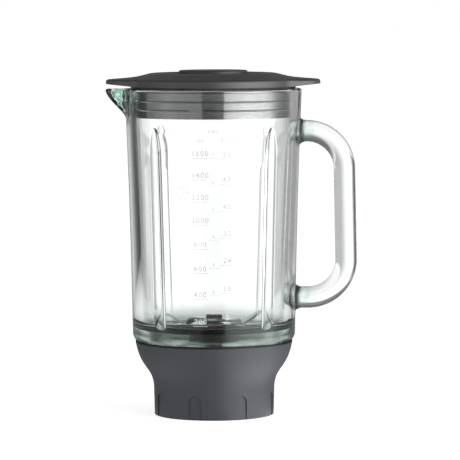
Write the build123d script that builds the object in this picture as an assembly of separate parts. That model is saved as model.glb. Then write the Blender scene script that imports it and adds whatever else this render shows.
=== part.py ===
"""Glass blender jar of 1.6 litres with its lid, on a screw-on base that carries the blades.

Millimetres, +Z up. The origin is the middle of the foot, so the part stands on z = 0.
The handle points to +X, the pouring lip to -X, and the front of the jar faces -Y.
"""
import os
from math import atan2, cos, exp, pi, radians, sin, tan

from build123d import *

# Clearances and overlaps shared by several pieces
running_clearance = 0.04
slide_clearance = 0.3
seat_clearance = 0.6
thread_clearance = 0.7
cut_margin = 1.0

# Glass jar
jar_height = 201.1
jar_foot_radius = 65.0
jar_rim_radius = 70.7
jar_side_sag = 0.8
jar_shoulder = 3.0
jar_shoulder_height = 6.3
shoulder_width = 15.5
neck_wall = 5.9
neck_length = 11.2
neck_edge = 2.0
wall_at_floor = 8.8
wall_at_rim = 7.3
floor_thickness = 10.3
floor_corner = 8.0
rim_round = 1.8

# Stirring ribs on the jar's inner wall
stir_rib_count = 4
stir_rib_phase = 45.0
stir_rib_radius = 6.0
stir_rib_depth = 4.0
stir_rib_gap = 5.5
stir_rib_point = 26.0
stir_rib_fillet = 1.0

# Pouring lip
lip_reach = 15.6
lip_drop = 29.0
lip_root = 3.4
lip_nose = 5.5
lip_width = 66.0
lip_set = 6.0
lip_wall = 6.0
lip_fillet = 9.0
lip_channel_nose = 4.0
lip_curve = ((1.0, 0.0), (0.55, 0.42), (0.18, 0.90))

# Handle
handle_radius = 8.6
handle_top_drop = 34.0
handle_bottom_rise = 33.9
handle_top_reach = 34.8
handle_bottom_reach = 41.0
handle_bend = 31.0
handle_flare = 7.0
handle_flare_sink = 2.0

# Base collar
collar_height = 59.2
collar_overlap = 0.9
shoulder_gap = 0.5
socket_radius = 44.2
socket_depth = 14.0
socket_stop = 0.8
foot_wall = 3.5
foot_flare = 0.5
foot_edge = 0.8
waist_height = 20.0
waist_pull = 19.0
collar_pull = 24.0
collar_lean = 4.0
collar_wall = 2.8
collar_lip = 2.6
ring_wall = 2.2
ledge_thickness = 3.0
ledge_margin = 1.3

# Shallow arches round the foot
arch_count = 8
arch_width = 10.5
arch_height = 19.1
arch_depth = 0.8
arch_phase = 26.5

# Bayonet lugs inside the foot
lug_count = 4
lug_angle = 16.0
lug_height = 3.5
lug_depth = 2.0

# Blade carrier
flange_thickness = 2.2
carrier_wall = 2.4
carrier_edge = 0.8
upstand_height = 12.0
well_depth = 1.5
dome_base_radius = 27.0
dome_top_radius = 19.0
dome_height = 7.0
dome_round = 3.0
tube_radius = 11.0
tube_step = 2.0
carrier_rib_count = 8
carrier_rib_width = 2.0

# Screws that hold the carrier
screw_count = 4
screw_radius = 1.6
screw_length = 12.0
screw_head_radius = 3.2
screw_head_height = 2.0
screw_clearance = 0.05
screw_tip_gap = 0.5
boss_wall = 2.0

# Bearings, shaft and drive
bush_radius = 8.0
upper_bush_length = 12.0
lower_bush_length = 11.5
shaft_radius = 4.0
shaft_head = 0.4
washer_thickness = 1.0
washer_radius = 9.5
clip_thickness = 1.0
clip_radius = 6.8
clip_groove = 0.7
clip_gap = 3.0
end_play = 0.2
coupling_gap = 1.0
coupling_radius = 16.0
coupling_height = 11.8
coupling_wall = 3.2
coupling_edge = 0.8
dog_depth = 7.0
dog_count = 6
dog_radius = 3.6
coupling_screw_radius = 2.0
coupling_screw_length = 10.0
coupling_head_radius = 5.2
coupling_head_height = 2.4

# Shaft seal
seal_flange_height = 2.4
seal_stem = 4.5
seal_lip = 1.5

# Blades
blade_thickness = 1.6
blade_width = 15.0
blade_bevel = 2.2
blade_hub_radius = 9.0
blade_bend_start = 20.0
blade_bend_radius = 5.0
blade_tip_cut = 6.0
blade_tip_clearance = 1.6
lower_blade_bend = 33.0
lower_blade_turn = 14.0
upper_blade_radius = 31.0
upper_blade_bend = -38.0
upper_blade_turn = -35.0
spacer_height = 5.0
spacer_radius = 7.5
nut_flats = 11.0
nut_height = 2.6

# Jar seal
jar_seal_thickness = 2.8
jar_seal_edge = 0.7

# Lid
rim_show = 4.2
brim_draft = 0.6
brim_step = 0.4
lid_edge_top = 7.2
lid_edge_round = 2.0
lid_slope_heights = (7.8, 9.2, 11.3)
lid_slope_insets = (1.5, 6.5, 13.5)
lid_crest_radius = 45.0
lid_crest_height = 12.4
lid_crest_land = 1.0
lid_dish_slope = 6.0
lid_seat_height = 11.0
lid_wall = 2.6
lid_outline_steps = 72
tab_length = 19.0
tab_spread_angle = 21.0
tab_shares = (0.72, 0.2, 0.05)
tab_underside = 1.8
tab_lift = 2.2
skirt_wall = 2.4
skirt_depth = 21.3
filler_radius = 23.6
filler_wall = 2.2
filler_depth = 5.0

# Lid seal
lid_seal_wall = 2.5
lid_seal_gap = 1.2
lid_seal_drop = 2.5
lid_seal_overhang = 1.2
lid_lip_drops = (9.2, 16.0)
lid_lip_height = 1.6
pull_arch_width = 33.0
pull_arch_height = 7.5
pull_arch_depth = 0.6
pull_arch_turn = -102.0

# Filler cap
cap_brim = 3.9
cap_height = 3.6
cap_round = 1.6
cap_dish = 0.4
cap_plug_depth = 12.0
cap_wall = 2.2
cap_edge = 0.8
cap_foot_round = 1.0

# Heights, from the foot up
coupling_bottom = socket_depth + coupling_gap
dog_top = coupling_bottom + dog_depth
coupling_top = coupling_bottom + coupling_height
clip_bottom = coupling_top + end_play
washer_bottom = clip_bottom + clip_thickness
tube_bottom = washer_bottom + washer_thickness + end_play
lower_bush_top = tube_bottom + lower_bush_length
glass_bottom = collar_height + shoulder_gap
neck_bottom = glass_bottom - neck_length
flange_top = neck_bottom - jar_seal_thickness
ledge_top = flange_top - flange_thickness
ledge_height = ledge_top - ledge_thickness
upstand_top = neck_bottom + upstand_height
well_floor = upstand_top - well_depth
well_under = well_floor - carrier_wall
dome_top = well_floor + dome_height
upper_bush_top = dome_top - seal_stem
upper_bush_bottom = upper_bush_top - upper_bush_length
seal_top = dome_top + seal_flange_height
lower_blade_height = seal_top + slide_clearance
spacer_bottom = lower_blade_height + blade_thickness
upper_blade_height = spacer_bottom + spacer_height
nut_bottom = upper_blade_height + blade_thickness
nut_top = nut_bottom + nut_height
shaft_top = nut_top + shaft_head
glass_floor = glass_bottom + floor_thickness
shoulder_top = glass_bottom + jar_shoulder_height
rim_height = glass_bottom + jar_height
skirt_bottom = rim_height - skirt_depth
lid_seal_bottom = skirt_bottom - lid_seal_overhang
stir_rib_top = lid_seal_bottom - stir_rib_gap
cap_seat = rim_height + lid_seat_height
cap_top = cap_seat + cap_height

# Radii, from the glass inwards and outwards
shoulder_radius = jar_foot_radius - jar_shoulder
neck_radius = shoulder_radius - shoulder_width
neck_bore = neck_radius - neck_wall
thread_radius = neck_radius + thread_clearance
ring_radius = thread_radius + ring_wall
collar_radius = shoulder_radius + collar_overlap
foot_radius = socket_radius + foot_wall
upstand_radius = neck_bore - seat_clearance
well_radius = upstand_radius - carrier_wall
screw_circle = (dome_base_radius + well_radius) / 2
ledge_bore = screw_circle - screw_head_radius - ledge_margin
shaft_bore = shaft_radius + running_clearance
lower_blade_radius = neck_bore - blade_tip_clearance
lid_radius = jar_rim_radius - rim_show
lid_dish_radius = lid_crest_radius - lid_dish_slope
filler_outer = filler_radius + filler_wall
cap_radius = filler_radius + cap_brim


def inner_radius(height):
    """Radius of the jar's inner wall, a straight cone from floor to rim."""
    floor = jar_foot_radius - wall_at_floor
    rim = jar_rim_radius - wall_at_rim
    return floor + (rim - floor) * (height - glass_floor) / (rim_height - glass_floor)


def outer_radius(height):
    """Radius of the jar's outer side, which sags a little inside a straight cone."""
    share = (height - shoulder_top) / (rim_height - shoulder_top)
    straight = jar_foot_radius + share * (jar_rim_radius - jar_foot_radius)
    return straight - 4 * jar_side_sag * share * (1 - share)


lid_seal_radius = inner_radius(lid_seal_bottom) - lid_seal_gap
skirt_radius = lid_seal_radius - lid_seal_wall
skirt_inner = skirt_radius - skirt_wall


def turned(corners):
    """Solid of revolution from (radius, height) corners; a third value rounds that corner."""
    points = [(corner[0], 0, corner[1]) for corner in corners]
    rounds = [corner[2] if len(corner) > 2 else 0.0 for corner in corners]
    return revolve(make_face(FilletPolyline(*points, radius=rounds, close=True)), Axis.Z)


def ring(inner, outer, bottom, top):
    """Plain ring between two radii and two heights."""
    return turned([(inner, bottom), (outer, bottom), (outer, top), (inner, top)])


def disc(radius, bottom, top):
    """Plain cylinder on the axis between two heights."""
    return Pos(0, 0, bottom) * Cylinder(radius, top - bottom, align=(Align.CENTER, Align.CENTER, Align.MIN))


def around(count, solid, phase=0.0):
    """Copies of a solid spread evenly round the axis."""
    return [Rot(0, 0, phase + 360 / count * step) * solid for step in range(count)]


def screw_holes(bottom, top):
    """Shanks of the carrier's screws with their clearance, between two heights."""
    return around(screw_count, Pos(screw_circle, 0, 0) * disc(screw_radius + screw_clearance, bottom, top),
                  stir_rib_phase)


def arch_tool(width, spring, height, core_radius):
    """Upright arch, open at the bottom, that reaches outward along +X from a core radius."""
    half = width / 2
    legs = Polyline((0, -half, spring), (0, -half, -cut_margin), (0, half, -cut_margin), (0, half, spring))
    crown = ThreePointArc((0, half, spring), (0, 0, height), (0, -half, spring))
    prism = extrude(make_face(legs + crown), 2 * core_radius, dir=(1, 0, 0))
    return prism - disc(core_radius, -2 * cut_margin, height + cut_margin)


def collar_form(foot_bottom, foot_top, top_radius):
    """Solid inside one side of the collar: a straight foot, then one S-shaped sweep to the top."""
    waist = (foot_top, 0, waist_height)
    top = (top_radius, 0, collar_height)
    side = Bezier(waist, (foot_top, 0, waist_height + waist_pull),
                  (top_radius - collar_lean, 0, collar_height - collar_pull), top)
    lower = Polyline((0, 0, 0), (foot_bottom, 0, 0), waist)
    upper = Polyline(top, (0, 0, collar_height), (0, 0, 0))
    return revolve(make_face(lower + side + upper), Axis.Z)


def bayonet_lug():
    """One lug inside the foot: a short stretch of an inward rib with a sloped underside."""
    root = socket_radius + foot_wall / 2
    tip = socket_radius - lug_depth
    corners = [(root, socket_depth), (socket_radius, socket_depth), (tip, socket_depth + lug_depth / 2),
               (tip, socket_depth + lug_height), (root, socket_depth + lug_height)]
    outline = Polyline(*[(r, 0, z) for r, z in corners], close=True)
    return revolve(make_face(outline), Axis.Z, revolution_arc=lug_angle)


def base_collar():
    """Moulded collar: swept shell, threaded ring for the neck, ledge for the carrier, foot socket."""
    body = collar_form(foot_radius, foot_radius + foot_flare, collar_radius)
    body = fillet(body.edges().filter_by(GeomType.CIRCLE).group_by(Axis.Z)[0], foot_edge)
    stop_radius = socket_radius - socket_stop
    hollow = collar_form(stop_radius, stop_radius, collar_radius - collar_wall)
    body -= hollow - disc(collar_radius, collar_height - collar_lip, collar_height + cut_margin)
    body -= disc(socket_radius, -cut_margin, socket_depth)
    body += ring(thread_radius, ring_radius, ledge_height, collar_height)
    body += ring(ledge_bore, ring_radius, ledge_height, ledge_top)
    body -= disc(thread_radius, ledge_top, collar_height + cut_margin)
    arch = arch_tool(arch_width, arch_height - arch_width / 2, arch_height, foot_radius - arch_depth)
    body -= around(arch_count, arch, arch_phase)
    body += around(lug_count, bayonet_lug(), -lug_angle / 2)
    return body - screw_holes(ledge_height - cut_margin, ledge_top + cut_margin)


def blade_carrier():
    """Moulded insert: flange under the neck, upstand in its bore, well, dome and bearing tube."""
    flange_radius = thread_radius - slide_clearance
    dome_under = dome_top - carrier_wall
    shoulder_bore = bush_radius - tube_step
    body = turned([
        (well_radius, ledge_top), (flange_radius, ledge_top), (flange_radius, flange_top),
        (upstand_radius, flange_top), (upstand_radius, upstand_top, carrier_edge),
        (well_radius, upstand_top, carrier_edge), (well_radius, well_floor, carrier_edge / 2),
        (dome_base_radius, well_floor, dome_round), (dome_top_radius, dome_top, dome_round),
        (bush_radius, dome_top), (bush_radius, upper_bush_bottom), (shoulder_bore, upper_bush_bottom),
        (shoulder_bore, lower_bush_top), (bush_radius, lower_bush_top), (bush_radius, tube_bottom),
        (tube_radius, tube_bottom), (tube_radius, dome_under),
        (dome_top_radius - carrier_wall / 2, dome_under), (dome_base_radius - carrier_wall / 2, well_under),
        (well_radius, well_under),
    ])
    rib_height = well_under - ledge_top + carrier_wall / 2
    rib = Pos((tube_radius + upstand_radius) / 2, 0, ledge_top + rib_height / 2) * Box(
        upstand_radius - tube_radius - carrier_wall / 2, carrier_rib_width, rib_height)
    body += around(carrier_rib_count, rib, stir_rib_phase / 2)
    boss = Pos(screw_circle, 0, 0) * disc(screw_radius + boss_wall, ledge_top, well_under + carrier_wall / 2)
    body += around(screw_count, boss, stir_rib_phase)
    body -= disc(bush_radius, upper_bush_bottom, dome_top + cut_margin)
    return body - screw_holes(ledge_top - cut_margin, ledge_top + screw_length)


def carrier_screws():
    """Four pan-head screws, driven up through the ledge into the carrier's bosses."""
    head = disc(screw_head_radius, ledge_height - screw_head_height, ledge_height)
    head = fillet(head.edges().group_by(Axis.Z)[0], screw_head_height / 2)
    shank = disc(screw_radius, ledge_height, ledge_top + screw_length - screw_tip_gap)
    return Compound(around(screw_count, Pos(screw_circle, 0, 0) * (head + shank), stir_rib_phase))


def shaft_seal():
    """Rubber seal: stem pressed into the tube, flange on the dome and a thin lip at the shaft."""
    bore = shaft_bore + running_clearance
    return turned([
        (bore, upper_bush_top + seal_lip), (bush_radius, upper_bush_top), (bush_radius, dome_top),
        (tube_radius, dome_top), (tube_radius, dome_top + seal_flange_height / 2), (bush_radius, seal_top),
        (bore, seal_top),
    ])


def drive_shaft():
    """Steel shaft with a groove for the clip and a tapped hole in its lower end."""
    body = disc(shaft_radius, dog_top, shaft_top)
    body = chamfer(body.edges().filter_by(GeomType.CIRCLE).group_by(Axis.Z)[-1], shaft_head)
    body -= ring(shaft_radius - clip_groove, shaft_radius + cut_margin, clip_bottom, washer_bottom)
    hole_top = dog_top + coupling_screw_length
    return body - disc(coupling_screw_radius + screw_clearance, dog_top - cut_margin, hole_top)


def circlip():
    """Open spring clip in the shaft's groove."""
    body = ring(shaft_radius - clip_groove, clip_radius, clip_bottom, washer_bottom)
    return body - Pos(clip_radius, 0, clip_bottom) * Box(2 * clip_radius, clip_gap, 4 * clip_thickness)


def drive_coupling():
    """Moulded dog on the shaft's end, with a lobed socket that the motor unit's driver enters."""
    body = turned([
        (0, coupling_bottom), (coupling_radius, coupling_bottom, coupling_edge),
        (coupling_radius, dog_top, coupling_edge),
        (coupling_radius - coupling_wall, coupling_top, coupling_edge), (0, coupling_top),
    ])
    core = coupling_radius - coupling_wall - dog_radius
    body -= disc(core, coupling_bottom - cut_margin, dog_top)
    lobe = Pos(core, 0, 0) * disc(dog_radius, coupling_bottom - cut_margin, dog_top)
    body -= around(dog_count, lobe)
    return body - disc(shaft_radius, dog_top - cut_margin, coupling_top + cut_margin)


def coupling_screw():
    """Screw that holds the coupling on the shaft, its head inside the lobed socket."""
    head = disc(coupling_head_radius, dog_top - coupling_head_height, dog_top)
    head = fillet(head.edges().group_by(Axis.Z)[0], coupling_head_height / 3)
    return head + disc(coupling_screw_radius, dog_top, dog_top + coupling_screw_length - screw_tip_gap)


def blade_arm(height, bend, tip_radius):
    """One arm of a blade: a strip ground on one edge that leaves the hub flat and then bends."""
    half = blade_width / 2
    top = height + blade_thickness
    overrun = tip_radius + cut_margin
    tip_height = height + (overrun - blade_bend_start) * tan(radians(bend))
    path = FilletPolyline((0, 0, height), (blade_bend_start, 0, height), (overrun, 0, tip_height),
                          radius=blade_bend_radius)
    strip = Polyline((0, -half, height), (0, half, height), (0, half, top), (0, blade_bevel - half, top),
                     close=True)
    plan = Polyline((0, -half), (tip_radius - blade_tip_cut, -half), (tip_radius, blade_tip_cut - half),
                    (tip_radius, 0), (blade_bend_start, half), (0, half), close=True)
    return sweep(make_face(strip), path=path) & extrude(make_face(plan), tip_height + overrun)


def blade(height, bend, tip_radius, turn):
    """Two-armed blade stamped from sheet, bored to fit the shaft."""
    body = disc(blade_hub_radius, height, height + blade_thickness)
    body += around(2, blade_arm(height, bend, tip_radius))
    body -= disc(shaft_radius, height - cut_margin, height + blade_thickness + cut_margin)
    return Rot(0, 0, turn) * body


def blade_nut():
    """Hexagon nut on the shaft's head, with its upper corners turned off."""
    outline = RegularPolygon(nut_flats / 2, 6, major_radius=False)
    hexagon = Pos(0, 0, nut_bottom) * extrude(outline, nut_height)
    blank = turned([(0, nut_bottom), (nut_flats, nut_bottom), (nut_flats / 2, nut_top), (0, nut_top)])
    return (hexagon & blank) - disc(shaft_radius, nut_bottom - cut_margin, nut_top + cut_margin)


def jar_seal():
    """Soft ring between the carrier's flange and the end of the glass neck."""
    inner = neck_bore + slide_clearance
    outer = neck_radius - slide_clearance
    return turned([(inner, flange_top, jar_seal_edge), (outer, flange_top, jar_seal_edge),
                   (outer, neck_bottom, jar_seal_edge), (inner, neck_bottom, jar_seal_edge)])


def lip_section(height, tip, inset, nose):
    """Level section of the pouring lip: a narrow nose that widens back into the jar's wall."""
    half = lip_width / 2 - inset
    back = Pos(half - (jar_rim_radius - inset - lip_set), 0) * Circle(half)
    front = Pos(nose - tip, 0) * Circle(nose)
    return Pos(0, 0, height) * make_hull(back.edges() + front.edges())


def pouring_lip(inset, nose, over):
    """Solid of the pouring lip, drawn out of the wall in a rising curve, or of its inner channel.

    Each pair in the curve is a share of the lip's drop below the rim and of its reach.
    """
    root = jar_rim_radius - inset - lip_root
    reach = lip_reach + lip_root
    sections = [lip_section(rim_height - fall * lip_drop, root + share * reach, inset, nose)
                for fall, share in lip_curve]
    return loft(sections + [lip_section(rim_height + over, root + reach, inset, nose)])


def stirring_rib():
    """Half-round rib along the inner wall, with a long tapered head below the lid's seal."""
    sink = stir_rib_radius - stir_rib_depth
    foot_height = glass_floor - cut_margin
    head_height = stir_rib_top - stir_rib_point
    foot = Vector(inner_radius(foot_height) + sink, 0, foot_height)
    head = Vector(inner_radius(head_height) + sink, 0, head_height)
    run = (head - foot).length
    bar = Cylinder(stir_rib_radius, run, align=(Align.CENTER, Align.CENTER, Align.MIN))
    taper = scale(Sphere(stir_rib_radius), by=(1, 1, stir_rib_point / stir_rib_radius))
    return Plane(origin=foot, z_dir=head - foot) * (bar + Pos(0, 0, run) * taper)


def jar_space():
    """Space inside the jar: cone with a round floor corner, the neck's bore and room for the ribs."""
    over = rim_height + cut_margin
    space = turned([
        (0, neck_bottom - cut_margin), (neck_bore, neck_bottom - cut_margin),
        (neck_bore, glass_floor, neck_edge), (inner_radius(glass_floor), glass_floor, floor_corner),
        (inner_radius(over), over), (0, over),
    ])
    space -= around(stir_rib_count, stirring_rib(), stir_rib_phase)
    return fillet(space.edges().filter_by(GeomType.BSPLINE), stir_rib_fillet)


def root_end(height):
    """Distance from the axis at which the handle's bar leaves its flared root."""
    return outer_radius(height) - handle_flare_sink + handle_flare


def handle_root(height):
    """Trumpet-shaped root of the handle, where the bar runs out of the wall."""
    end = root_end(height)
    face = end - handle_flare
    back = face - wall_at_rim / 2
    small = height + handle_radius
    large = small + handle_flare
    bulge = handle_flare * (1 - cos(radians(45)))
    curve = ThreePointArc((face, 0, large), (face + bulge, 0, small + bulge), (end, 0, small))
    rest = Polyline((end, 0, small), (end, 0, height), (back, 0, height), (back, 0, large), (face, 0, large))
    return revolve(make_face(curve + rest), Axis((0, 0, height), (1, 0, 0)))


def handle():
    """Round glass bar: out from the wall, down through two wide bends and back to the wall.

    Each bend ends where its arm leaves the root, however far the bar leans.
    """
    top = rim_height - handle_top_drop
    bottom = glass_bottom + handle_bottom_rise
    upper_end = outer_radius(top) + handle_top_reach
    lower_end = outer_radius(bottom) + handle_bottom_reach
    lean = atan2(upper_end - lower_end, top - bottom)
    upper_room = (upper_end - root_end(top) - running_clearance) / tan(pi / 4 + lean / 2)
    lower_room = (lower_end - root_end(bottom) - running_clearance) / tan(pi / 4 - lean / 2)
    path = FilletPolyline((root_end(top), 0, top), (upper_end, 0, top), (lower_end, 0, bottom),
                          (root_end(bottom), 0, bottom), radius=min(handle_bend, upper_room, lower_room))
    bar = sweep(Plane(origin=path @ 0, z_dir=path % 0) * Circle(handle_radius), path=path)
    return bar + handle_root(top) + handle_root(bottom)


def jar_blank():
    """Outside of the jar as turned: neck, shoulder, sagging side and flat rim."""
    middle = (shoulder_top + rim_height) / 2
    foot = Polyline((0, 0, neck_bottom), (neck_radius, 0, neck_bottom), (neck_radius, 0, glass_bottom),
                    (shoulder_radius, 0, glass_bottom))
    shoulder = Bezier((shoulder_radius, 0, glass_bottom), (jar_foot_radius, 0, glass_bottom + jar_shoulder),
                      (jar_foot_radius, 0, shoulder_top))
    side = ThreePointArc((jar_foot_radius, 0, shoulder_top), (outer_radius(middle), 0, middle),
                         (jar_rim_radius, 0, rim_height))
    top = Polyline((jar_rim_radius, 0, rim_height), (0, 0, rim_height), (0, 0, neck_bottom))
    return revolve(make_face(foot + shoulder + side + top), Axis.Z)


def jar():
    """Pressed glass jar with its neck, pouring lip, handle and stirring ribs, all one piece."""
    body = jar_blank() + pouring_lip(0.0, lip_nose, 0.0)
    seams = [edge for edge in body.edges().filter_by(GeomType.BSPLINE)
             if Vector((edge @ 0.5).X, (edge @ 0.5).Y).length < jar_rim_radius
             and (edge @ 0.5).Z < rim_height - rim_round]
    body = fillet(seams, lip_fillet) + handle()
    body -= jar_space()
    body -= pouring_lip(lip_wall, lip_channel_nose, cut_margin)
    return fillet(body.edges().group_by(Axis.Z)[-1], rim_round)


def lid_level(height, radius, reach):
    """Level section of the lid: a circle drawn out into two grip tabs that flow into it."""
    points = []
    for step in range(lid_outline_steps):
        turn = 90 + 360 / lid_outline_steps * step
        aside = (turn + 90) % 180 - 90
        distance = radius + reach * exp(-(aside / tab_spread_angle) ** 4)
        points.append((distance * cos(radians(turn)), distance * sin(radians(turn)), rim_height + height))
    return make_face(Spline(*points, periodic=True))


def lid_crown():
    """Outside of the lid: an edge with thin tabs, from which one smooth dome rises to a round crest."""
    edge = lid_level(tab_underside, lid_radius, tab_length)
    crown = extrude(edge, lid_edge_top - tab_underside)
    slope = [lid_level(height, lid_radius - inset, tab_length * share)
             for height, inset, share in zip(lid_slope_heights, lid_slope_insets, tab_shares)]
    crown += loft([lid_level(lid_edge_top, lid_radius, tab_length), *slope,
                   lid_level(lid_crest_height, lid_crest_radius, 0.0)])
    edge_top = rim_height + lid_edge_top
    rounded = [line for line in crown.edges() if abs((line @ 0.5).Z - edge_top) < running_clearance]
    crown = fillet(rounded, lid_edge_round)
    underside = rim_height + tab_underside
    root = lid_radius + brim_step
    tip = lid_radius + tab_length + cut_margin
    return crown - turned([(root, underside - cut_margin), (tip, underside - cut_margin),
                           (tip, underside + tab_lift), (root, underside)])


def lid():
    """Moulded lid: domed crown with a dished middle and grip tabs, skirt and a collar for the filler cap."""
    crest = rim_height + lid_crest_height
    land = lid_crest_radius - lid_crest_land
    under_seat = cap_seat - lid_wall
    body = lid_crown()
    brim = lid_radius - brim_step
    body += turned([(0, rim_height), (brim - brim_draft, rim_height), (brim, rim_height + tab_underside),
                    (0, rim_height + tab_underside)])
    body += ring(skirt_inner, skirt_radius, skirt_bottom, rim_height)
    body -= turned([(0, cap_seat), (lid_dish_radius, cap_seat), (land, crest), (land, crest + cut_margin),
                    (0, crest + cut_margin)])
    body -= turned([
        (filler_outer, rim_height - cut_margin), (skirt_inner, rim_height - cut_margin),
        (skirt_inner, rim_height + lid_slope_heights[1] - lid_wall), (lid_crest_radius, under_seat),
        (filler_outer, under_seat)])
    body += ring(filler_radius, filler_outer, rim_height - filler_depth, under_seat)
    return body - disc(filler_radius, rim_height - filler_depth - cut_margin, cap_top)


def lid_seal():
    """Rubber sleeve on the skirt with two soft lips and one arched thumb recess."""
    inner = skirt_radius + running_clearance
    top = rim_height - lid_seal_drop
    outline = [(inner, lid_seal_bottom), (lid_seal_radius, lid_seal_bottom)]
    for drop in sorted(lid_lip_drops, reverse=True):
        middle = rim_height - drop
        outline.append((lid_seal_radius, middle - lid_lip_height / 2))
        outline.append((inner_radius(middle) - slide_clearance, middle))
        outline.append((lid_seal_radius, middle + lid_lip_height / 2))
    outline += [(lid_seal_radius, top), (inner, top)]
    arch = arch_tool(pull_arch_width, 0, pull_arch_height, lid_seal_radius - pull_arch_depth)
    return turned(outline) - Pos(0, 0, lid_seal_bottom) * Rot(0, 0, pull_arch_turn) * arch


def filler_cap():
    """Plug cap: a low rounded grip that rests in the lid's dish, on a hollow plug in the filler collar."""
    plug = filler_radius - slide_clearance
    plug_inner = plug - cap_wall
    plug_bottom = cap_seat - cap_plug_depth
    ceiling = cap_top - cap_dish - cap_wall
    return turned([
        (plug_inner, plug_bottom, cap_edge), (plug, plug_bottom, cap_edge), (plug, cap_seat),
        (cap_radius, cap_seat, cap_foot_round), (cap_radius, cap_top, cap_round),
        (cap_radius - 2 * cap_round, cap_top, cap_round), (0, cap_top - cap_dish), (0, ceiling),
        (plug_inner, ceiling, cap_edge)])


pieces = {
    "base_collar": base_collar(),
    "blade_carrier": blade_carrier(),
    "carrier_screws": carrier_screws(),
    "shaft_seal": shaft_seal(),
    "upper_bush": ring(shaft_bore, bush_radius, upper_bush_bottom, upper_bush_top),
    "lower_bush": ring(shaft_bore, bush_radius, tube_bottom, lower_bush_top),
    "drive_shaft": drive_shaft(),
    "lower_blade": blade(lower_blade_height, lower_blade_bend, lower_blade_radius, lower_blade_turn),
    "blade_spacer": ring(shaft_radius, spacer_radius, spacer_bottom, upper_blade_height),
    "upper_blade": blade(upper_blade_height, upper_blade_bend, upper_blade_radius, upper_blade_turn),
    "blade_nut": blade_nut(),
    "thrust_washer": ring(shaft_radius, washer_radius, washer_bottom, washer_bottom + washer_thickness),
    "circlip": circlip(),
    "drive_coupling": drive_coupling(),
    "coupling_screw": coupling_screw(),
    "jar_seal": jar_seal(),
    "jar": jar(),
    "lid": lid(),
    "lid_seal": lid_seal(),
    "filler_cap": filler_cap(),
}

os.makedirs("parts", exist_ok=True)
for name, solid in pieces.items():
    export_step(solid, f"parts/{name}.step")
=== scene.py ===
"""Glass blender jar with its lid, on a screw-on base that carries the blades.

Metres, +Z up. The handle points to +X, the pouring lip to -X, and the front with the scale faces -Y.
"""
from math import cos, pi, radians, sin

import bmesh
import bpy
from mathutils import Matrix, Vector


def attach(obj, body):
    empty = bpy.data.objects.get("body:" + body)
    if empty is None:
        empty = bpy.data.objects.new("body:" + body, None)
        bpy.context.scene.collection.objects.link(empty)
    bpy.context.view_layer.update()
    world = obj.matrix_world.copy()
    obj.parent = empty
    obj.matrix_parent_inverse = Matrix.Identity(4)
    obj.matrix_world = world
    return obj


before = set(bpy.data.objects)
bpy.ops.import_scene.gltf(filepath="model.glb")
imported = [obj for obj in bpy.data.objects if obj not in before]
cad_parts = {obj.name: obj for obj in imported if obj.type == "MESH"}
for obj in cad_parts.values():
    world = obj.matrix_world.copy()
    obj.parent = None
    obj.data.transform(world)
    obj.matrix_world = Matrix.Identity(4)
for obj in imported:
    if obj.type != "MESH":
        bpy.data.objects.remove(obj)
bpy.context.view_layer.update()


# Base collar: the blue-grey foot that screws onto the glass neck and sits on the motor unit.
# It is injection moulded in one piece, with a fine spark-eroded grain that gives it a satin sheen.
# Its rim, where the glass sits down on it, is painted near-black as shade in the gap under the glass.
def new_finish(name):
    """Finish with its node tree, its skin, and the place on the piece that its patterns read."""
    finish = bpy.data.materials.new(name)
    finish.use_nodes = True
    tree = finish.node_tree
    place = tree.nodes.new("ShaderNodeTexCoord").outputs["Object"]
    return finish, tree, tree.nodes["Principled BSDF"], place


def noise(tree, place, scale, detail):
    """Cloudy pattern over a place."""
    cloud = tree.nodes.new("ShaderNodeTexNoise")
    cloud.inputs["Scale"].default_value = scale
    cloud.inputs["Detail"].default_value = detail
    tree.links.new(place, cloud.inputs["Vector"])
    return cloud.outputs["Fac"]


def tint_by(tree, share):
    """Mix of two tints, its A and its B, by a share."""
    mix = tree.nodes.new("ShaderNodeMix")
    mix.data_type = "RGBA"
    tree.links.new(share, mix.inputs["Factor"])
    return mix


def vary(tree, skin, pattern, dull, bright, roughness, swing):
    """Let a pattern run a skin's colour from dull to bright, and its roughness by a swing to both sides."""
    tint = tint_by(tree, pattern)
    tint.inputs["A"].default_value = (*dull, 1.0)
    tint.inputs["B"].default_value = (*bright, 1.0)
    gloss = tree.nodes.new("ShaderNodeMapRange")
    gloss.inputs["To Min"].default_value = roughness - swing
    gloss.inputs["To Max"].default_value = roughness + swing
    tree.links.new(pattern, gloss.inputs["Value"])
    tree.links.new(tint.outputs["Result"], skin.inputs["Base Color"])
    tree.links.new(gloss.outputs["Result"], skin.inputs["Roughness"])


def emboss(tree, skin, pattern, depth):
    """Bump that raises a pattern on a skin by a depth."""
    bump = tree.nodes.new("ShaderNodeBump")
    bump.inputs["Distance"].default_value = depth
    tree.links.new(pattern, bump.inputs["Height"])
    tree.links.new(bump.outputs["Normal"], skin.inputs["Normal"])
    return bump


def moulded_plastic(name, colour, roughness, grain_pitch, grain_depth, shine):
    """Satin moulded plastic: fine grain in the bump, slow mottling in colour and gloss."""
    finish, tree, skin, place = new_finish(name)
    skin.inputs["Specular IOR Level"].default_value = shine
    mottle = noise(tree, place, scale=45.0, detail=4.0)
    dull = [0.94 * part for part in colour]
    bright = [1.06 * part for part in colour]
    vary(tree, skin, mottle, dull, bright, roughness, swing=0.03)
    grain = noise(tree, place, scale=1.0 / grain_pitch, detail=2.0)
    emboss(tree, skin, grain, grain_depth).inputs["Strength"].default_value = 0.6
    return finish


def axes_of(tree, place):
    """Outputs X, Y and Z of a place."""
    axes = tree.nodes.new("ShaderNodeSeparateXYZ")
    tree.links.new(place, axes.inputs["Vector"])
    return axes.outputs


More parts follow.
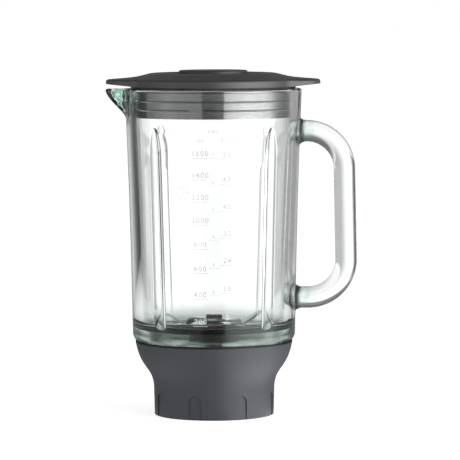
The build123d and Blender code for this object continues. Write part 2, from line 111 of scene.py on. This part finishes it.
def fade(tree, value, none, full, most=1.0, least=0.0):
    """Share that runs smoothly from the least to the most as a value runs from none to full."""
    share = tree.nodes.new("ShaderNodeMapRange")
    share.interpolation_type = "SMOOTHSTEP"
    share.inputs["From Min"].default_value = none
    share.inputs["From Max"].default_value = full
    share.inputs["To Min"].default_value = least
    share.inputs["To Max"].default_value = most
    tree.links.new(value, share.inputs["Value"])
    return share.outputs["Result"]


def dress(finish, *nodes):
    """Give solids their finish."""
    for node in nodes:
        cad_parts[node].material_slots[0].material = finish


collar_plastic = moulded_plastic("collar_plastic", (0.046, 0.052, 0.062), roughness=0.55,
                                 grain_pitch=0.0007, grain_depth=0.00002, shine=0.45)
collar_tree = collar_plastic.node_tree
collar_height = axes_of(collar_tree, collar_tree.nodes["Texture Coordinate"].outputs["Object"])["Z"]
collar_colour = collar_tree.nodes["Principled BSDF"].inputs["Base Color"]
# Painted shade: the collar's top, under the glass, is coloured near-black.
collar_shade_edge = (0.0578, 0.0584)
painted_rim_shade = tint_by(collar_tree, fade(collar_tree, collar_height, *collar_shade_edge))
painted_rim_shade.inputs["B"].default_value = (0.006, 0.006, 0.007, 1.0)
collar_tree.links.new(collar_colour.links[0].from_socket, painted_rim_shade.inputs["A"])
collar_tree.links.new(painted_rim_shade.outputs["Result"], collar_colour)
dress(collar_plastic, "base_collar")


# Blade carrier and drive coupling: the insert that closes the neck, and the dog under it.
# Both are moulded in dark glass-filled plastic; screws hold the carrier on the collar's ledge.
carrier_plastic = moulded_plastic("carrier_plastic", (0.035, 0.035, 0.037), roughness=0.38,
                                  grain_pitch=0.0007, grain_depth=0.00002, shine=0.5)
dress(carrier_plastic, "blade_carrier", "drive_coupling")


# Seals: soft rubber mouldings with a matt skin, dark red at the shaft and black under the glass neck.
# The pale thrust washer is a plain nylon ring with the same dull skin.
red_rubber = moulded_plastic("red_rubber", (0.62, 0.030, 0.040), roughness=0.55,
                             grain_pitch=0.0005, grain_depth=0.00001, shine=0.4)
dress(red_rubber, "shaft_seal")
dark_rubber = moulded_plastic("dark_rubber", (0.016, 0.016, 0.017), roughness=0.6,
                              grain_pitch=0.0005, grain_depth=0.00001, shine=0.4)
dress(dark_rubber, "jar_seal")
white_plastic = moulded_plastic("white_plastic", (0.78, 0.77, 0.74), roughness=0.45,
                                grain_pitch=0.0006, grain_depth=0.00001, shine=0.5)
dress(white_plastic, "thrust_washer")


# Blades, shaft and fasteners: stainless steel, the blades brushed along their arms, the rest turned.
# The spacer and nut that clamp the blades are blackened.
# The bushes are sintered bronze, grey-brown and porous.
def worked_metal(name, colour, roughness, stretch, depth):
    """Metal with fine tool marks, which are longest along the axis with the smallest stretch."""
    finish, tree, skin, place = new_finish(name)
    skin.inputs["Metallic"].default_value = 1.0
    spread = tree.nodes.new("ShaderNodeMapping")
    spread.inputs["Scale"].default_value = stretch
    tree.links.new(place, spread.inputs["Vector"])
    marks = noise(tree, spread.outputs["Vector"], scale=1.0, detail=3.0)
    dull = [0.88 * part for part in colour]
    vary(tree, skin, marks, dull, colour, roughness, swing=0.08)
    emboss(tree, skin, marks, depth).inputs["Strength"].default_value = 0.5
    return finish


blade_steel = worked_metal("blade_steel", (0.72, 0.73, 0.74), roughness=0.30,
                           stretch=(260.0, 2600.0, 800.0), depth=0.00001)
dress(blade_steel, "lower_blade", "upper_blade")
plain_steel = worked_metal("plain_steel", (0.62, 0.63, 0.64), roughness=0.28,
                           stretch=(300.0, 300.0, 3000.0), depth=0.00001)
dress(plain_steel, "drive_shaft", "circlip", "carrier_screws", "coupling_screw")
dark_steel = worked_metal("dark_steel", (0.06, 0.06, 0.065), roughness=0.42,
                          stretch=(300.0, 300.0, 3000.0), depth=0.00001)
dress(dark_steel, "blade_spacer", "blade_nut")
bearing_bronze = worked_metal("bearing_bronze", (0.48, 0.36, 0.22), roughness=0.45,
                              stretch=(900.0, 900.0, 900.0), depth=0.00002)
dress(bearing_bronze, "upper_bush", "lower_bush")


# Jar: thick pressed soda glass, one piece with its handle, lip and ribs, and green where light runs far.
# It is clear and fire polished, but the mould leaves waves and green mottling at the lip, and a haze at the
# handle's roots and round the foot. Painted shade greys its colour at grazing angles and darkens it towards
# the foot and on the hidden neck, which is left rough.
clear_glass, glass_tree, glass_skin, glass_place = new_finish("clear_glass")
glass_skin.inputs["IOR"].default_value = 1.5
glass_skin.inputs["Transmission Weight"].default_value = 1.0
glass_skin.inputs["Specular Tint"].default_value = (0.80, 0.87, 0.84, 1.0)
glass_height = axes_of(glass_tree, glass_place)["Z"]
neck_edge = (0.0601, 0.0598)
ring_edge = (0.0720, 0.0680)
foot_shade_edge = (0.0860, 0.0720)


def larger(first, second):
    """Larger of two shares in the glass."""
    pick = glass_tree.nodes.new("ShaderNodeMath")
    pick.operation = "MAXIMUM"
    glass_tree.links.new(first, pick.inputs[0])
    glass_tree.links.new(second, pick.inputs[1])
    return pick.outputs["Value"]


wavy_share = fade(glass_tree, glass_height, *ring_edge, most=0.12)
green_share = fade(glass_tree, glass_height, *ring_edge, most=0.3)
ring_haze = fade(glass_tree, glass_height, *ring_edge, most=0.2)
neck_haze = fade(glass_tree, glass_height, *neck_edge, most=0.5)
hazy_share = larger(neck_haze, ring_haze)
lip = ((-0.080, 0.0, 0.252), 0.026, 0.9, 0.05, 1.0)
upper_root = ((0.067, 0.0, 0.229), 0.0195, 0.1, 0.3, 0.5)
lower_root = ((0.064, 0.0, 0.097), 0.0195, 0.1, 0.3, 0.5)
for middle, reach, wave, haze, green in (lip, upper_root, lower_root):
    distance = glass_tree.nodes.new("ShaderNodeVectorMath")
    distance.operation = "DISTANCE"
    distance.inputs[1].default_value = middle
    glass_tree.links.new(glass_place, distance.inputs[0])
    spot_edge = (reach, 0.6 * reach)
    wavy_share = larger(wavy_share, fade(glass_tree, distance.outputs["Value"], *spot_edge, most=wave))
    hazy_share = larger(hazy_share, fade(glass_tree, distance.outputs["Value"], *spot_edge, most=haze))
    green_share = larger(green_share, fade(glass_tree, distance.outputs["Value"], *spot_edge, most=green))
waves = noise(glass_tree, glass_place, scale=210.0, detail=1.0)
wave_bump = emboss(glass_tree, glass_skin, waves, depth=0.0012)
glass_tree.links.new(wavy_share, wave_bump.inputs["Strength"])
glass_tree.links.new(hazy_share, glass_skin.inputs["Roughness"])


def level_ramp(tree, value, stops):
    """Grey that runs through stops, each a position and a level, as a value runs from nothing to one."""
    ramp = tree.nodes.new("ShaderNodeValToRGB")
    while len(ramp.color_ramp.elements) < len(stops):
        ramp.color_ramp.elements.new(1.0)
    for stop, (position, level) in zip(ramp.color_ramp.elements, stops):
        stop.position = position
        stop.color = (level, level, level, 1.0)
    tree.links.new(value, ramp.inputs["Fac"])
    return ramp.outputs["Color"]


# Painted shade: the glass's colour greys towards grazing angles, which draws dark edges on the walls and
# handle.
grazing = glass_tree.nodes.new("ShaderNodeLayerWeight")
grazing.inputs["Blend"].default_value = 0.5
edge_shade_stops = ((0.40, 1.0), (0.60, 0.80), (0.80, 0.62), (1.0, 0.4))
painted_edge_shade = level_ramp(glass_tree, grazing.outputs["Facing"], edge_shade_stops)
green_mottle = glass_tree.nodes.new("ShaderNodeValToRGB")
deep_green, pale_green = green_mottle.color_ramp.elements
deep_green.position = 0.42
deep_green.color = (0.36, 0.62, 0.50, 1.0)
pale_green.position = 0.56
pale_green.color = (0.90, 0.96, 0.93, 1.0)
glass_tree.links.new(waves, green_mottle.inputs["Fac"])
green_and_edge_shade = tint_by(glass_tree, green_share)
glass_tree.links.new(painted_edge_shade, green_and_edge_shade.inputs["A"])
glass_tree.links.new(green_mottle.outputs["Color"], green_and_edge_shade.inputs["B"])
# Painted shade: the glass is coloured darker towards the foot.
painted_foot_shade = tint_by(glass_tree, fade(glass_tree, glass_height, *foot_shade_edge))
painted_foot_shade.blend_type = "MULTIPLY"
painted_foot_shade.inputs["B"].default_value = (0.64, 0.68, 0.655, 1.0)
glass_tree.links.new(green_and_edge_shade.outputs["Result"], painted_foot_shade.inputs["A"])
# Painted shade: the hidden neck inside the collar is coloured dark.
painted_neck_shade = tint_by(glass_tree, fade(glass_tree, glass_height, *neck_edge))
painted_neck_shade.inputs["B"].default_value = (0.30, 0.36, 0.33, 1.0)
glass_tree.links.new(painted_foot_shade.outputs["Result"], painted_neck_shade.inputs["A"])
glass_tree.links.new(painted_neck_shade.outputs["Result"], glass_skin.inputs["Base Color"])
glass_body = glass_tree.nodes.new("ShaderNodeVolumeAbsorption")
glass_body.inputs["Color"].default_value = (0.45, 0.80, 0.70, 1.0)
glass_body.inputs["Density"].default_value = 4.0
glass_tree.links.new(glass_body.outputs["Volume"], glass_tree.nodes["Material Output"].inputs["Volume"])
dress(clear_glass, "jar")


# Scale: numbers and lines that the mould leaves on the front of the glass as a faint frosted relief.
# Millilitres stand on the left, fluid ounces on the right and cups between them, each over its own line.
# A small bowl marks the highest line for hot food. The lowest marks, before the dark base, are painted whiter
# and more opaque, as painted light.
jar_foot, jar_rise = 0.0660, 0.1948
jar_radius, jar_flare, jar_sag = 0.06504, 0.0057, 0.0032


def on_glass(across, height):
    """Point on the front of the jar, just proud of the glass, at a distance across from its middle."""
    share = (height - jar_foot) / jar_rise
    radius = jar_radius + jar_flare * share - jar_sag * share * (1 - share)
    return Vector((radius * sin(across / radius), -radius * cos(across / radius), height))


scale_shape = bmesh.new()


def stroke(start, end, weight):
    """Line on the glass between two points, each a distance across and a height."""
    run = Vector(end) - Vector(start)
    side = Vector((-run.y, run.x)).normalized() * weight
    strip = bmesh.ops.create_grid(scale_shape, x_segments=12, y_segments=1, size=0.5)
    for vert in strip["verts"]:
        vert.co = on_glass(*(Vector(start) + run * (vert.co.x + 0.5) + side * vert.co.y))


def lettering(words, middle, foot, tall):
    """Words on the glass, centred on a distance across, with their foot at a height."""
    curve = bpy.data.curves.new(words, "FONT")
    curve.body = words
    curve.align_x = "CENTER"
    curve.space_character = 1.22
    curve.resolution_u = 4
    curve.offset = 0.012
    writer = bpy.data.objects.new(words, curve)
    bpy.context.scene.collection.objects.link(writer)
    bpy.context.view_layer.update()
    shape = bpy.data.meshes.new_from_object(writer.evaluated_get(bpy.context.evaluated_depsgraph_get()))
    bpy.data.objects.remove(writer)
    bpy.data.curves.remove(curve)
    low = min(vert.co.y for vert in shape.vertices)
    high = max(vert.co.y for vert in shape.vertices)
    size = tall / (high - low)
    known = len(scale_shape.verts)
    scale_shape.from_mesh(shape)
    bpy.data.meshes.remove(shape)
    scale_shape.verts.ensure_lookup_table()
    for vert in scale_shape.verts[known:]:
        vert.co = on_glass(middle + vert.co.x * size, foot + (vert.co.y - low) * size)


number_lift = 0.0016


def scale_column(heights, start, end, weight, middle, tall):
    """Column of the scale: at each height a line from start to end, and its number over it."""
    for amount, height in heights.items():
        stroke((start, height), (end, height), weight)
        lettering(str(amount), middle, height + number_lift, tall)


line_weight, number_tall = 0.0004, 0.0042
hot_line = 0.1740
millilitres = {1600: 0.2083, 1400: 0.1913, 1200: hot_line, 1000: 0.1560, 800: 0.1371, 600: 0.1181,
               400: 0.0978, 200: 0.0765}
scale_column(millilitres, start=-0.0163, end=-0.0045, weight=line_weight, middle=-0.0103, tall=number_tall)
ounces = {56: 0.2071, 48: 0.1880, 40: 0.1668, 32: 0.1456, 24: 0.1245, 16: 0.1026, 8: 0.0797}
scale_column(ounces, start=0.0054, end=0.0166, weight=line_weight, middle=0.0109, tall=number_tall)
cups = {7: 0.2083, 6: 0.1868, 5: 0.1659, 4: 0.1441, 3: 0.1222, 2: 0.1007}
scale_column(cups, start=-0.0036, end=0.0046, weight=0.00022, middle=0.0, tall=0.0024)
lettering("ml", middle=-0.0100, foot=0.2205, tall=0.0034)
lettering("fl oz", middle=0.0115, foot=0.2205, tall=0.0034)
lettering("cups", middle=0.0, foot=0.2275, tall=0.0026)
stroke((-0.0305, hot_line), (-0.0163, hot_line), weight=0.0003)
bowl_middle, bowl_rim = -0.0245, 0.1815
bowl_half, bowl_deep = 0.0058, 0.0052
bowl_weight = 0.00035
bowl = []
for turn in range(180, 361, 30):
    bowl.append((bowl_middle + bowl_half * cos(radians(turn)), bowl_rim + bowl_deep * sin(radians(turn))))
for start, end in zip(bowl, bowl[1:] + bowl[:1]):
    stroke(start, end, bowl_weight)
steam_pitch, steam_sway = 0.0027, 0.0008
steam_foot, steam_bend, steam_top = 0.1832, 0.1852, 0.1872
for wisp in (-1, 0, 1):
    across = bowl_middle + steam_pitch * wisp
    stroke((across, steam_foot), (across + steam_sway, steam_bend), bowl_weight)
    stroke((across + steam_sway, steam_bend), (across, steam_top), bowl_weight)
frosted_relief, relief_tree, relief_skin, relief_place = new_finish("frosted_relief")
relief_skin.inputs["Roughness"].default_value = 0.55
relief_height = axes_of(relief_tree, relief_place)["Z"]
# Painted light: marks below these heights are coloured whiter and made more opaque.
painted_light_edge = (0.094, 0.088)
relief_tone_and_painted_light = tint_by(relief_tree, fade(relief_tree, relief_height, *painted_light_edge))
relief_tone_and_painted_light.inputs["A"].default_value = (0.44, 0.45, 0.45, 1.0)
relief_tone_and_painted_light.inputs["B"].default_value = (0.85, 0.86, 0.86, 1.0)
relief_cover = fade(relief_tree, relief_height, *painted_light_edge, most=0.7, least=0.55)
relief_tree.links.new(relief_tone_and_painted_light.outputs["Result"], relief_skin.inputs["Base Color"])
relief_tree.links.new(relief_cover, relief_skin.inputs["Alpha"])


def into_scene(name, shape, finish):
    """Object in the scene with the shape of a bmesh, in a finish."""
    mesh = bpy.data.meshes.new(name)
    shape.to_mesh(mesh)
    shape.free()
    mesh.materials.append(finish)
    piece = bpy.data.objects.new(name, mesh)
    bpy.context.scene.collection.objects.link(piece)
    return piece


scale_marks = into_scene("scale_marks", scale_shape, frosted_relief)
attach(scale_marks, "jar")


# Lid and filler cap: near-black moulded plastic with a fine satin grain.
# The cap is a plug of its own, pulled out to add food while the blades run.
lid_plastic = moulded_plastic("lid_plastic", (0.027, 0.027, 0.028), roughness=0.46,
                              grain_pitch=0.0008, grain_depth=0.00002, shine=1.0)
dress(lid_plastic, "lid", "filler_cap")


# Lid seal: a smooth dark rubber sleeve with two soft lips, stretched over the lid's skirt.
# Pressed against the wet glass it shines like lacquer, so a clear coat carries the softboxes' reflections.
grey_rubber = moulded_plastic("grey_rubber", (0.025, 0.025, 0.026), roughness=0.16,
                              grain_pitch=0.0006, grain_depth=0.000002, shine=0.8)
rubber_skin = grey_rubber.node_tree.nodes["Principled BSDF"]
rubber_skin.inputs["Coat Weight"].default_value = 1.0
rubber_skin.inputs["Coat IOR"].default_value = 2.4
rubber_skin.inputs["Coat Roughness"].default_value = 0.08
dress(grey_rubber, "lid_seal")


# Surround: white to the camera. Gloss sees a studio round the part instead, by bearing: a bright softbox
# at the front right, a dim one at the front left, a dark gap between them for the camera, and dim walls
# behind. Through the glass it is pale at the horizon and dark overhead.
softbox_stops = ((-180, 0.23), (-166, 0.15), (-164, 0.60), (-140, 0.66), (-112, 0.84), (-100, 0.62),
                 (-82, 0.40), (-60, 0.28), (-20, 0.30), (20, 0.30), (60, 0.28), (75, 0.50), (83, 1.0),
                 (95, 2.36), (105, 3.04), (125, 3.43), (138, 3.30), (152, 2.80), (164, 2.10),
                 (166, 0.41), (180, 0.23))


def even_share(tree, value, start, end):
    """Share that runs evenly from nothing to one as a value runs from start to end."""
    share = tree.nodes.new("ShaderNodeMapRange")
    share.inputs["From Min"].default_value = start
    share.inputs["From Max"].default_value = end
    tree.links.new(value, share.inputs["Value"])
    return share.outputs["Result"]


def shown_light(tree, colour, strength):
    """Light that shows a colour at a strength."""
    light = tree.nodes.new("ShaderNodeEmission")
    light.inputs["Strength"].default_value = strength
    tree.links.new(colour, light.inputs["Color"])
    return light.outputs["Emission"]


def studio_ring(tree, direction, stops):
    """Light of the studio along a direction, by its bearing in degrees from the back towards the right."""
    full_level = 4.0
    heading = axes_of(tree, direction)
    bearing = tree.nodes.new("ShaderNodeMath")
    bearing.operation = "ARCTAN2"
    tree.links.new(heading["X"], bearing.inputs[0])
    tree.links.new(heading["Y"], bearing.inputs[1])
    turn = even_share(tree, bearing.outputs["Value"], -pi, pi)
    ring_stops = [((degrees_right + 180) / 360, level / full_level) for degrees_right, level in stops]
    return shown_light(tree, level_ramp(tree, turn, ring_stops), full_level)


def plain_light(tree, level):
    """White light of one level."""
    light = tree.nodes.new("ShaderNodeEmission")
    light.inputs["Strength"].default_value = level
    return light.outputs["Emission"]


def blend(tree, share, first, second):
    """Mix of two shaders by a share."""
    mix = tree.nodes.new("ShaderNodeMixShader")
    tree.links.new(share, mix.inputs["Fac"])
    tree.links.new(first, mix.inputs[1])
    tree.links.new(second, mix.inputs[2])
    return mix.outputs["Shader"]


overhead_edge = (0.35, 0.75)
horizon_edge = (0.08, 0.36)
surround = bpy.data.worlds.new("white_surround")
surround.use_nodes = True
bpy.context.scene.world = surround
sky = surround.node_tree
compass = sky.nodes.new("ShaderNodeTexCoord").outputs["Generated"]
rise = axes_of(sky, compass)["Z"]
sky_path = sky.nodes.new("ShaderNodeLightPath").outputs
sky_ring = studio_ring(sky, compass, softbox_stops)
sky_gloss = blend(sky, fade(sky, rise, *overhead_edge), sky_ring, plain_light(sky, 0.2))
sky_through = blend(sky, fade(sky, rise, *horizon_edge), plain_light(sky, 0.9), plain_light(sky, 0.15))
sky_light = blend(sky, sky_path["Is Glossy Ray"], plain_light(sky, 0.35), sky_gloss)
sky_light = blend(sky, sky_path["Is Transmission Ray"], sky_light, sky_through)
sky_light = blend(sky, sky_path["Is Camera Ray"], sky_light, plain_light(sky, 1.0))
sky.links.new(sky_light, sky.nodes["World Output"].inputs["Surface"])


# Floor: white paper that keeps the shadow under the foot and runs on into the surround.
# Through the glass it is pale grey near the part as painted shade, then white, then shows the studio's walls,
# and is white again far away. What the glass mirrors of it is the ring of softboxes.
floor_half = 24.0
near_shade_edge = (0.12, 0.32)
wall_edge = (0.6, 0.95)
far_edge = (11.0, 16.0)
wall_stops = ((-180, 0.95), (-130, 0.95), (-112, 0.84), (-100, 0.68), (-82, 0.48), (-60, 0.42),
              (-20, 0.48), (20, 0.48), (60, 0.42), (75, 0.55), (83, 1.0), (95, 2.36), (105, 2.36),
              (120, 0.95), (180, 0.95))
paper, sheet, paper_skin, paper_place = new_finish("white_paper")
paper_skin.inputs["Base Color"].default_value = (0.9, 0.9, 0.9, 1.0)
paper_skin.inputs["Roughness"].default_value = 0.9
paper_skin.inputs["Emission Color"].default_value = (1.0, 1.0, 1.0, 1.0)
paper_skin.inputs["Emission Strength"].default_value = 0.72
away = sheet.nodes.new("ShaderNodeVectorMath")
away.operation = "LENGTH"
sheet.links.new(paper_place, away.inputs[0])
paper_path = sheet.nodes.new("ShaderNodeLightPath").outputs
ring_light = studio_ring(sheet, paper_place, softbox_stops)
wall_light = blend(sheet, paper_path["Glossy Depth"], studio_ring(sheet, paper_place, wall_stops), ring_light)
# Painted shade: seen through the glass, the paper near the part glows grey instead of white.
near_shade_share = fade(sheet, away.outputs["Value"], *near_shade_edge)
through = blend(sheet, near_shade_share, plain_light(sheet, 0.7), plain_light(sheet, 1.0))
through = blend(sheet, fade(sheet, away.outputs["Value"], *wall_edge), through, wall_light)
through = blend(sheet, fade(sheet, away.outputs["Value"], *far_edge), through, plain_light(sheet, 0.9))
paper_light = blend(sheet, paper_path["Is Glossy Ray"], paper_skin.outputs["BSDF"], ring_light)
paper_light = blend(sheet, paper_path["Is Transmission Ray"], paper_light, through)
sheet.links.new(paper_light, sheet.nodes["Material Output"].inputs["Surface"])
floor_shape = bmesh.new()
bmesh.ops.create_grid(floor_shape, x_segments=1, y_segments=1, size=floor_half)
floor = into_scene("floor", floor_shape, paper)


# Panel: a low lit sheet close behind the part that only the glass shows, brightest behind the jar.
# It dims to the right and falls off to a dark flag at the left, which draws the edges of the glass.
panel_left, panel_right = -2.2, 0.8
panel_wide, panel_tall = panel_right - panel_left, 0.30
panel_back = 0.68
panel_stops = ((-2.20, 0.10), (-1.20, 0.03), (-0.60, 0.05), (-0.47, 0.18), (-0.36, 0.36), (-0.28, 0.66),
               (-0.22, 1.0), (0.10, 1.0), (0.18, 0.80), (0.28, 0.52), (0.40, 0.40), (0.80, 0.37))
panel_finish, panel_tree, _, panel_place = new_finish("panel_light")
panel_across = even_share(panel_tree, axes_of(panel_tree, panel_place)["X"], panel_left, panel_right)
panel_levels = [((across - panel_left) / panel_wide, level) for across, level in panel_stops]
panel_light = shown_light(panel_tree, level_ramp(panel_tree, panel_across, panel_levels), strength=1.1)
panel_tree.links.new(panel_light, panel_tree.nodes["Material Output"].inputs["Surface"])
panel_shape = bmesh.new()
bmesh.ops.create_grid(panel_shape, x_segments=1, y_segments=1, size=0.5)
for vert in panel_shape.verts:
    across = panel_left + panel_wide * (vert.co.x + 0.5)
    vert.co = Vector((across, panel_back, panel_tall * (vert.co.y + 0.5)))
panel = into_scene("panel", panel_shape, panel_finish)
panel.visible_camera = False
panel.visible_diffuse = False
panel.visible_glossy = False
panel.visible_shadow = False


# Lamp: the softbox at the front right as plain light on the part, with its shadow on the paper.
# Its reflection is drawn by the studio ring, so gloss and glass do not see the lamp itself.
softbox_wide, softbox_tall = 1.5, 0.8
softbox_level = 2.2
softbox_place = Vector((0.91, -0.78, 0.4))
lamp = bpy.data.lights.new("right_softbox", "AREA")
lamp.shape = "RECTANGLE"
lamp.size = softbox_wide
lamp.size_y = softbox_tall
lamp.energy = softbox_level * pi * softbox_wide * softbox_tall
softbox = bpy.data.objects.new("right_softbox", lamp)
softbox_turn = (-softbox_place).to_track_quat("-Z", "Y").to_matrix().to_4x4()
softbox.matrix_world = Matrix.Translation(softbox_place) @ softbox_turn
softbox.visible_glossy = False
softbox.visible_transmission = False
bpy.context.scene.collection.objects.link(softbox)


# Camera: a long lens a little above the lid, looking down on the middle of the jar.
# Its distance, its aim and its slight roll set the part in the frame as in the photograph.
frame_pixels = 460
focal_pixels = 3334.5
eye = Vector((0.01307, -2.65882, 0.33749))
aim = Vector((0.01307, 0.0, 0.14753))
roll = radians(-0.18)
lens = bpy.data.cameras.new("camera")
lens.sensor_width = 36.0
lens.lens = lens.sensor_width * focal_pixels / frame_pixels
lens.clip_end = 50.0
camera = bpy.data.objects.new("camera", lens)
camera_turn = (aim - eye).to_track_quat("-Z", "Y").to_matrix().to_4x4() @ Matrix.Rotation(roll, 4, "Z")
camera.matrix_world = Matrix.Translation(eye) @ camera_turn
bpy.context.scene.collection.objects.link(camera)
bpy.context.scene.camera = camera
bpy.context.scene.view_settings.view_transform = "Standard"
